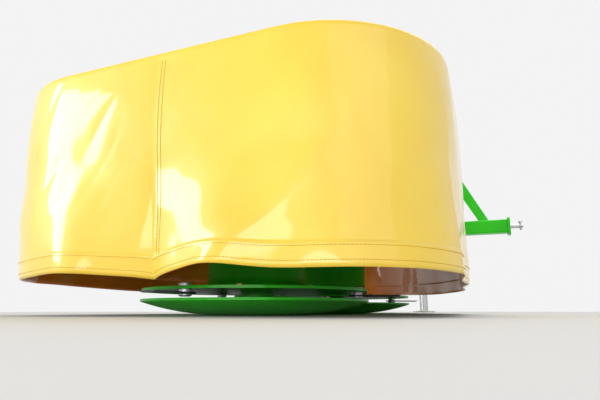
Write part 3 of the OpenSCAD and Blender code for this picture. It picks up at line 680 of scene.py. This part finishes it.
links.new(coords.outputs["Normal"], parts.inputs["Vector"])
links.new(parts.outputs["Z"], slant.inputs[0])
links.new(slant.outputs["Value"], ground.inputs["Fac"])
links.new(ground.outputs["Color"], bare_share)
links.new(nodes["tone"].outputs["Color"], blackened)
mixed = next(socket for socket in steel.outputs if socket.identifier == "Result_Color")
links.new(mixed, nodes["Principled BSDF"].inputs["Base Color"])
for side in ("outer", "inner"):
    coat(["knife_%s_%d" % (side, count) for count in (1, 2, 3)], knife)

# Skid dishes: pressed from sheet steel and painted, with the faint mottling of a deep-drawn dish. They
# turn freely on the hubs.
dish_paint = paint.copy()
dish_paint.name = "dish_paint"
dish_paint.node_tree.nodes["drift"].inputs["Scale"].default_value = 9.0
coat(("skid_outer", "skid_inner"), dish_paint)

# Cover frame: flat bar hoops, round rods, diagonal stays and top rails, welded and painted, with yellow
# zinc bolts where the stays meet the lower hoop.
coat(("cover_hoop", "cover_rods", "front_stays", "rear_stays", "stay_lugs", "top_hoop", "top_rails"), paint)
hoop_low, hoop_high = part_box("cover_hoop")
rail_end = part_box("top_rails")[0][0]
stay_feet = ((0.160, 0.425), (-0.066, 0.450))
rear_bar_bolt = (0.162, -0.232)
seats = [
    (Vector((axis_x + x, axis_y + side * y, hoop_low[2])), (0, 0, -1))
    for x, y in stay_feet for side in (-1, 1)
]
seats.append((Vector((axis_x + rear_bar_bolt[0], axis_y + rear_bar_bolt[1], hoop_low[2])), (0, 0, -1)))
bolts("frame_bolts", "cutter", seats)
rod_places = (0.066, -0.095, -0.199, -0.286)
rod_r = 0.007
lug_weld_low, lug_weld_high = 0.318, 0.366
post_in, post_half, rail_y = 0.036, 0.020, 0.120
seams = []
for side in (-1, 1):
    wall_y = beam_high[1] if side > 0 else beam_low[1]
    for x in rod_places:
        spot = (axis_x + x, wall_y, (hoop_low[2] + hoop_high[2]) / 2)
        seams.append(arc(spot, rod_r, (1, 0, 0), (0, 0, 1), count=16))
    for x in lug_places:
        for edge_x in (x, x + lug_t):
            seams.append([(edge_x, wall_y, lug_weld_low), (edge_x, wall_y, lug_weld_high)])
    for x in (rail_end + post_in, beam_high[0] - post_in):
        y = axis_y + side * rail_y
        feet = [(-1, -1), (1, -1), (1, 1), (-1, 1), (-1, -1)]
        seams.append([(x + post_half * a, y + post_half * b, lid_high[2]) for a, b in feet])
welds("frame_welds", "cutter", seams)

# Cover: PVC coated cloth, yellow outside, sewn from a roof and a skirt and drawn over the two hoops. Its
# inside is coloured orange as painted light: the glow of light that shines through the yellow cloth. It
# hangs free below the lower hoop, so the hem waves and the end seam pulls in. Dust has dulled the roof.
corner_arcs = (
    (0.160, 0.232, 0.262), (-0.050, 0.235, 0.260), (-0.520, 0.175, 0.305), (-0.940, 0.020, 0.213),
    (-0.745, -0.338, 0.005), (-0.115, -0.241, 0.260), (0.140, -0.245, 0.260),
)
arc_step = 3
front_end_y = -0.011
rear_end = Vector((-0.745, -0.342))
rear_near = 0.006
end_seam = Vector((0.410, -0.025))
rear_crease = Vector((0.190, -0.500))
cloth_t, cloth_inset = 0.0016, 0.003
column_w, rows, row_clear = 0.006, 56, 0.006
facing_span, end_short = 2, 0.001
top_bend = 0.012
bend_steps = (0, 22, 45, 67)
hem_band, hem_fold, fold_step = 0.040, 0.0012, 0.0008
hoop_v, free_power = 0.45, 1.2
belly = 0.004

# A swell is a place from the end seam, a width and a height. A wave is a rate, a start and a height. A
# dent, and the stray and patches of the wrinkles, are two rates, a layer and a size.
seam_pull, seam_tuck, seam_w = 0.028, 0.003, 0.050
seam_swells = ((-0.16, 0.08, 0.020), (0.19, 0.07, 0.021))
crease_out, crease_w, crease_top = 0.010, 0.035, 0.25
long_waves = ((4.3, 0.6, 0.009), (10.7, 2.1, 0.005))
calm_w = 0.45
fold_at, fold_slant, fold_w, fold_out, fold_top = -0.13, 0.42, 0.035, 0.006, 0.25
dents = ((6.0, 2.4, 0.3, 0.008), (15.0, 5.0, 4.1, 0.003))
dent_held = 0.35
wrinkle_apart, wrinkle_slant, wrinkle_in, wrinkle_sharp = 0.058, -0.26, 0.0050, 0.42
wrinkle_stray = (7.0, 3.5, 9.2, 1.3)
wrinkle_patch = (13.0, 4.5, 2.6, 1.5)
patch_middle = 0.6
wrinkle_at, wrinkle_w, wrinkle_v, wrinkle_tall = 0.25, 0.13, 0.36, 0.24
front_creases = ((-0.60, 0.0060), (-0.70, 0.0045))
front_crease_w, front_crease_top = 0.018, 0.2
hem_swells = ((-0.13, 0.09, 0.013), (0.20, 0.10, 0.006))
hem_point, hem_point_w = 0.010, 0.045
hem_wave = (7.1, 1.0, 0.004)
roof_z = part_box("cover_roof")[1][2]
hem_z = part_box("skirt_outer")[0][2]
fall = roof_z - top_bend - hem_z

# The outline from above is the hull of the corner arcs, from the front end of the skirt to its rear end.
cloud = sorted(
    (x + r * math.cos(math.radians(a)), y + r * math.sin(math.radians(a)))
    for x, y, r in corner_arcs for a in range(0, 360, arc_step)
)
hull = []
for part in (cloud, cloud[::-1]):
    half = []
    for p in part:
        while len(half) > 1:
            (ax, ay), (bx, by) = half[-2], half[-1]
            if (bx - ax) * (p[1] - ay) > (by - ay) * (p[0] - ax):
                break
            half.pop()
        half.append(p)
    hull += half[:-1]
hull = [Vector(p) for p in reversed(hull)]
start = min((i for i in range(len(hull)) if hull[i].y >= front_end_y), key=lambda i: hull[i].x)
path = [Vector((hull[start].x, front_end_y))]
for p in hull[start:] + hull[:start]:
    if p.x <= rear_end.x + rear_near and p.y < 0:
        break
    path.append(p)
path.append(rear_end)

# Columns stand at even steps along the outline, each with the way in which it faces outwards.
reach = [0.0]
for p, q in zip(path, path[1:]):
    reach.append(reach[-1] + (q - p).length)
girth = reach[-1]
columns = int(girth / column_w)
step = girth / columns
outline = []
leg = 0
for i in range(columns + 1):
    while leg < len(reach) - 2 and reach[leg + 1] < step * i:
        leg += 1
    outline.append(path[leg].lerp(path[leg + 1], (step * i - reach[leg]) / (reach[leg + 1] - reach[leg])))
outward = []
for i in range(columns + 1):
    way = (outline[min(i + facing_span, columns)] - outline[max(i - facing_span, 0)]).normalized()
    outward.append(Vector((-way.y, way.x)))
seam_d = step * min(range(columns + 1), key=lambda i: (outline[i] - end_seam).length)
crease_d = step * min(range(columns + 1), key=lambda i: (outline[i] - rear_crease).length)


def hump(x, width):
    """A round swell, 1 at its middle."""
    return math.exp(-((x / width) ** 2))


def ridge(x, width):
    """A sharp crease, 1 at its middle."""
    return math.exp(-abs(x) / width)


def billow(d, v):
    """How far the skirt stands out at d along it and v down it, v from 0 at the roof to 1 at the hem."""
    s = d - seam_d
    free = max(0.0, (v - hoop_v) / (1 - hoop_v)) ** free_power
    out = belly * math.sin(math.pi * min(2 * v, 1.0))
    out += sum(high * hump(s - at, wide) for at, wide, high in seam_swells) * free
    out -= (seam_pull * free + seam_tuck) * ridge(s, seam_w)
    out += crease_out * ridge(d - crease_d, crease_w) * (crease_top + (1 - crease_top) * v)
    wave = sum(high * math.sin(rate * d + first) for rate, first, high in long_waves)
    out += wave * free * (1 - hump(s, calm_w))
    out += fold_out * hump(s - fold_at + (1 - v) * fold_slant, fold_w) * max(0.0, v - fold_top)
    dent = sum(deep * noise.noise(Vector((d * a, v * b, c))) for a, b, c, deep in dents)
    out += dent * min(1.0, 2 * v) * (dent_held + free)
    stray, patch = (
        size * noise.noise(Vector((d * a, v * b, c))) for a, b, c, size in (wrinkle_stray, wrinkle_patch)
    )
    groove = ridge(math.sin(math.pi * (d + wrinkle_slant * v) / wrinkle_apart + stray), wrinkle_sharp)
    crumpled = hump(s - wrinkle_at, wrinkle_w) * hump(v - wrinkle_v, wrinkle_tall)
    out -= wrinkle_in * groove * max(0.0, patch_middle + patch) * crumpled
    for at, high in front_creases:
        out += high * ridge(s - at, front_crease_w) * max(0.0, v - front_crease_top)
    return out


def hem_lift(d):
    """How far the hem rises at d along the skirt."""
    s = d - seam_d
    rate, first, high = hem_wave
    lift = sum(rise * hump(s - at, wide) for at, wide, rise in hem_swells)
    lift -= hem_point * ridge(s, hem_point_w)
    return lift + high * math.sin(rate * d + first) * (1 - hump(s, calm_w))


def skirt_point(d, v, proud=0.0):
    """A point on the skirt, or one that stands a little proud of it."""
    f = min(max(d / step, 0.0), columns - end_short)
    i = int(f)
    p = outline[i].lerp(outline[i + 1], f - i)
    n = outward[i].lerp(outward[i + 1], f - i).normalized()
    q = p + n * (billow(d, v) - cloth_inset + proud)
    return Vector((axis_x + q.x, axis_y + q.y, roof_z - top_bend - v * (fall - hem_lift(d) * v)))


# Rows run round the bent edge of the roof and down the skirt, with a small step where the hem is folded.
verts, faces = [], []
for a in (math.radians(degrees) for degrees in bend_steps):
    for p, n in zip(outline, outward):
        q = p - n * (top_bend * (1 - math.sin(a)) + cloth_inset)
        verts.append((axis_x + q.x, axis_y + q.y, roof_z - top_bend * (1 - math.cos(a))))
band_v = 1 - hem_band / fall
levels = [k / rows for k in range(rows + 1) if abs(k / rows - band_v) > row_clear]
levels = sorted(levels + [band_v - fold_step, band_v + fold_step])
for v in levels:
    for i in range(columns + 1):
        verts.append(tuple(skirt_point(i * step, v, hem_fold if v > band_v else 0.0)))
width = columns + 1
for k in range(len(bend_steps) + len(levels) - 1):
    for a in range(k * width, k * width + columns):
        faces.append((a, a + 1, a + width + 1, a + width))
skirt_faces, bend_faces = len(faces), len(bend_steps) * columns

# The roof is a grid of points inside its rim, joined by triangles, that sags between the bars under it.
rim = [Vector(v[:2]) for v in verts[:width]]
loop = rim + [Vector((axis_x + rear_end.x, axis_y + front_end_y))]
mesh_w = 0.025
cells_x, cells_y = range(-46, 18), range(-20, 21)
held_rim, slack = 0.060, 0.120
sag_mid, rail_clear = 0.006, 0.022
sag_uneven, sag_rate, sag_seed = 0.5, 7, 1.7
bar_half = 0.020
bar_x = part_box("top_hoop")[0][0] + bar_half
keep_inside, merge_within = 1, 1e-6
inside = []
for gx in cells_x:
    for gy in cells_y:
        p = Vector((axis_x + gx * mesh_w, axis_y + gy * mesh_w))
        hits = 0
        for a, b in zip(loop, loop[1:] + loop[:1]):
            if (a.y > p.y) != (b.y > p.y) and p.x < a.x + (p.y - a.y) * (b.x - a.x) / (b.y - a.y):
                hits += 1
        if hits % 2 and min((p - a).length for a in loop) > mesh_w / 2:
            inside.append(p)
edges = [(i, (i + 1) % len(loop)) for i in range(len(loop))]
flat, _, panes = geometry.delaunay_2d_cdt(loop + inside, edges, [], keep_inside, merge_within)[:3]
number = list(range(width)) + [len(verts) + k for k in range(len(flat) - width)]
for p in flat[width:]:
    sag = sag_mid * min(1.0, max(0.0, min((p - a).length for a in rim) - held_rim) / slack)
    if p.x > rail_end - rail_clear:
        sag *= min(1.0, max(0.0, abs(abs(p.y - axis_y) - rail_y) - rail_clear) / (slack / 2))
    sag *= min(1.0, max(0.0, abs(p.x - bar_x) - rail_clear) / (slack / 2))
    sag *= 1 + sag_uneven * noise.noise(Vector((p.x * sag_rate, p.y * sag_rate, sag_seed)))
    verts.append((p.x, p.y, roof_z - sag))
for pane in panes:
    a, b, c = (flat[j] for j in pane)
    order = pane if (b - a).cross(c - a) > 0 else reversed(pane)
    faces.append(tuple(number[j] for j in order))

# The skirt is glossy outside, and the roof and its bent edge are dull. The weave follows the cloth.
gloss_side, dull_side = 0, 2
mesh = bpy.data.meshes.new("cover")
mesh.from_pydata(verts, [], faces)
weave_map = mesh.uv_layers.new(name="weave")
for face in mesh.polygons:
    face.use_smooth = True
    on_roof = face.index >= skirt_faces
    face.material_index = dull_side if on_roof or face.index < bend_faces else gloss_side
    for corner in face.loop_indices:
        n = mesh.loops[corner].vertex_index
        x, y, z = verts[n]
        weave_map.data[corner].uv = (x, y) if on_roof else (n % width * step, z)
cover = bpy.data.objects.new("cover", mesh)
scene.collection.objects.link(cover)

yellow = clouded(
    "cover_outside", (0.92, 0.60, 0.035), (1.00, 0.74, 0.080),
    scale=3.5, rough=(0.30, 0.38), stops=(0.3, 0.7),
)
scrim_share = 0.02
nodes, links = yellow.node_tree.nodes, yellow.node_tree.links
shader = nodes["Principled BSDF"]
shader.inputs["Coat Weight"].default_value = 0.75
shader.inputs["Coat Roughness"].default_value = 0.07
along_cloth = nodes.new("ShaderNodeUVMap")
along_cloth.uv_map = "weave"
scrim = nodes.new("ShaderNodeMath")
scrim.operation = "MAXIMUM"
for k, threads in enumerate("XY"):
    weave = nodes.new("ShaderNodeTexWave")
    weave.bands_direction = threads
    weave.inputs["Scale"].default_value = 180.0
    links.new(along_cloth.outputs["UV"], weave.inputs["Vector"])
    links.new(weave.outputs["Fac"], scrim.inputs[k])
coords = nodes.new("ShaderNodeTexCoord")
crumple = nodes.new("ShaderNodeTexNoise")
crumple.inputs["Scale"].default_value = 7.0
crumple.inputs["Detail"].default_value = 2.5
links.new(coords.outputs["Object"], crumple.inputs["Vector"])
relief = nodes.new("ShaderNodeMath")
relief.operation = "MULTIPLY_ADD"
relief.inputs[1].default_value = scrim_share
links.new(scrim.outputs["Value"], relief.inputs[0])
links.new(crumple.outputs["Fac"], relief.inputs[2])
bump = nodes.new("ShaderNodeBump")
bump.inputs["Strength"].default_value = 0.30
bump.inputs["Distance"].default_value = 0.014
links.new(relief.outputs["Value"], bump.inputs["Height"])
links.new(bump.outputs["Normal"], shader.inputs["Normal"])
# The orange inside is painted light: it stands for the glow of light shining through the yellow cloth.
glow_orange = yellow.copy()
glow_orange.name = "cover_inside_painted_glow"
ramp = glow_orange.node_tree.nodes["tone"].color_ramp
ramp.elements[0].color = (0.92, 0.19, 0.002, 1)
ramp.elements[1].color = (1.00, 0.26, 0.004, 1)
dusty = yellow.copy()
dusty.name = "cover_roof"
dusty.node_tree.nodes["Principled BSDF"].inputs["Coat Weight"].default_value = 0.0
dusty.node_tree.nodes["gloss"].inputs["To Min"].default_value = 0.42
dusty.node_tree.nodes["gloss"].inputs["To Max"].default_value = 0.56
for finish in (yellow, glow_orange, dusty, glow_orange):
    mesh.materials.append(finish)
skin = cover.modifiers.new("skin", "SOLIDIFY")
skin.thickness = cloth_t
skin.offset = -1
skin.material_offset = 1
skin.material_offset_rim = 1
settle(cover, skin)
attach(cover, "cutter")
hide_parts("cover_roof", "skirt_outer", "skirt_front", "skirt_inner", "skirt_rear")

# Stitching: two rows of lockstitch along the folded hem and two beside the end seam, in ochre
# polyester thread.
thread = clouded("thread", (0.56, 0.33, 0.02), (0.80, 0.52, 0.04), scale=900.0, rough=(0.6, 0.8))
stitch_group = beads_along("stitches", segments=6, rings=4, spread=0.05)
stitch_pitch = 0.0065
stitch_size = (0.0013, 0.0013, 0.0056)
on_cloth = 0.0004
hem_rows, seam_rows = (0.034, 0.011), (0.008, 0.016)
seam_top, seam_long, seam_steps = 0.03, 0.87, 60
lines = []
for above in hem_rows:
    v = 1 - above / fall
    lines.append([skirt_point(i * step, v, hem_fold + on_cloth) for i in range(1, columns)])
drops = [seam_top + seam_long * k / seam_steps for k in range(seam_steps + 1)]
for beside in seam_rows:
    lines.append([skirt_point(seam_d - beside, v, on_cloth) for v in drops])
stitches = along("cover_stitches", lines, stitch_group, stitch_pitch, stitch_size, thread)
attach(stitches, "cutter")

# Cover bolts: zinc plated hexagon bolts with broad washers, in a row just inside the roof's edge. They
# hold the cloth down on the top hoop.
bolt_in, bolt_first, bolt_apart = 0.030, 0.20, 0.235
held_from = -0.20
cover_head, cover_washer = (0.0075, 0.0050), (0.0150, 0.0015)
seats = []
for k in range(int((girth - bolt_first) / bolt_apart)):
    i = int((bolt_first + bolt_apart * k) / step)
    p = outline[i] - outward[i] * bolt_in
    if p.x > held_from:
        seats.append((Vector((axis_x + p.x, axis_y + p.y, roof_z)), (0, 0, 1)))
bolts("cover_bolts", "cutter", seats, cover_head, cover_washer, zinc)
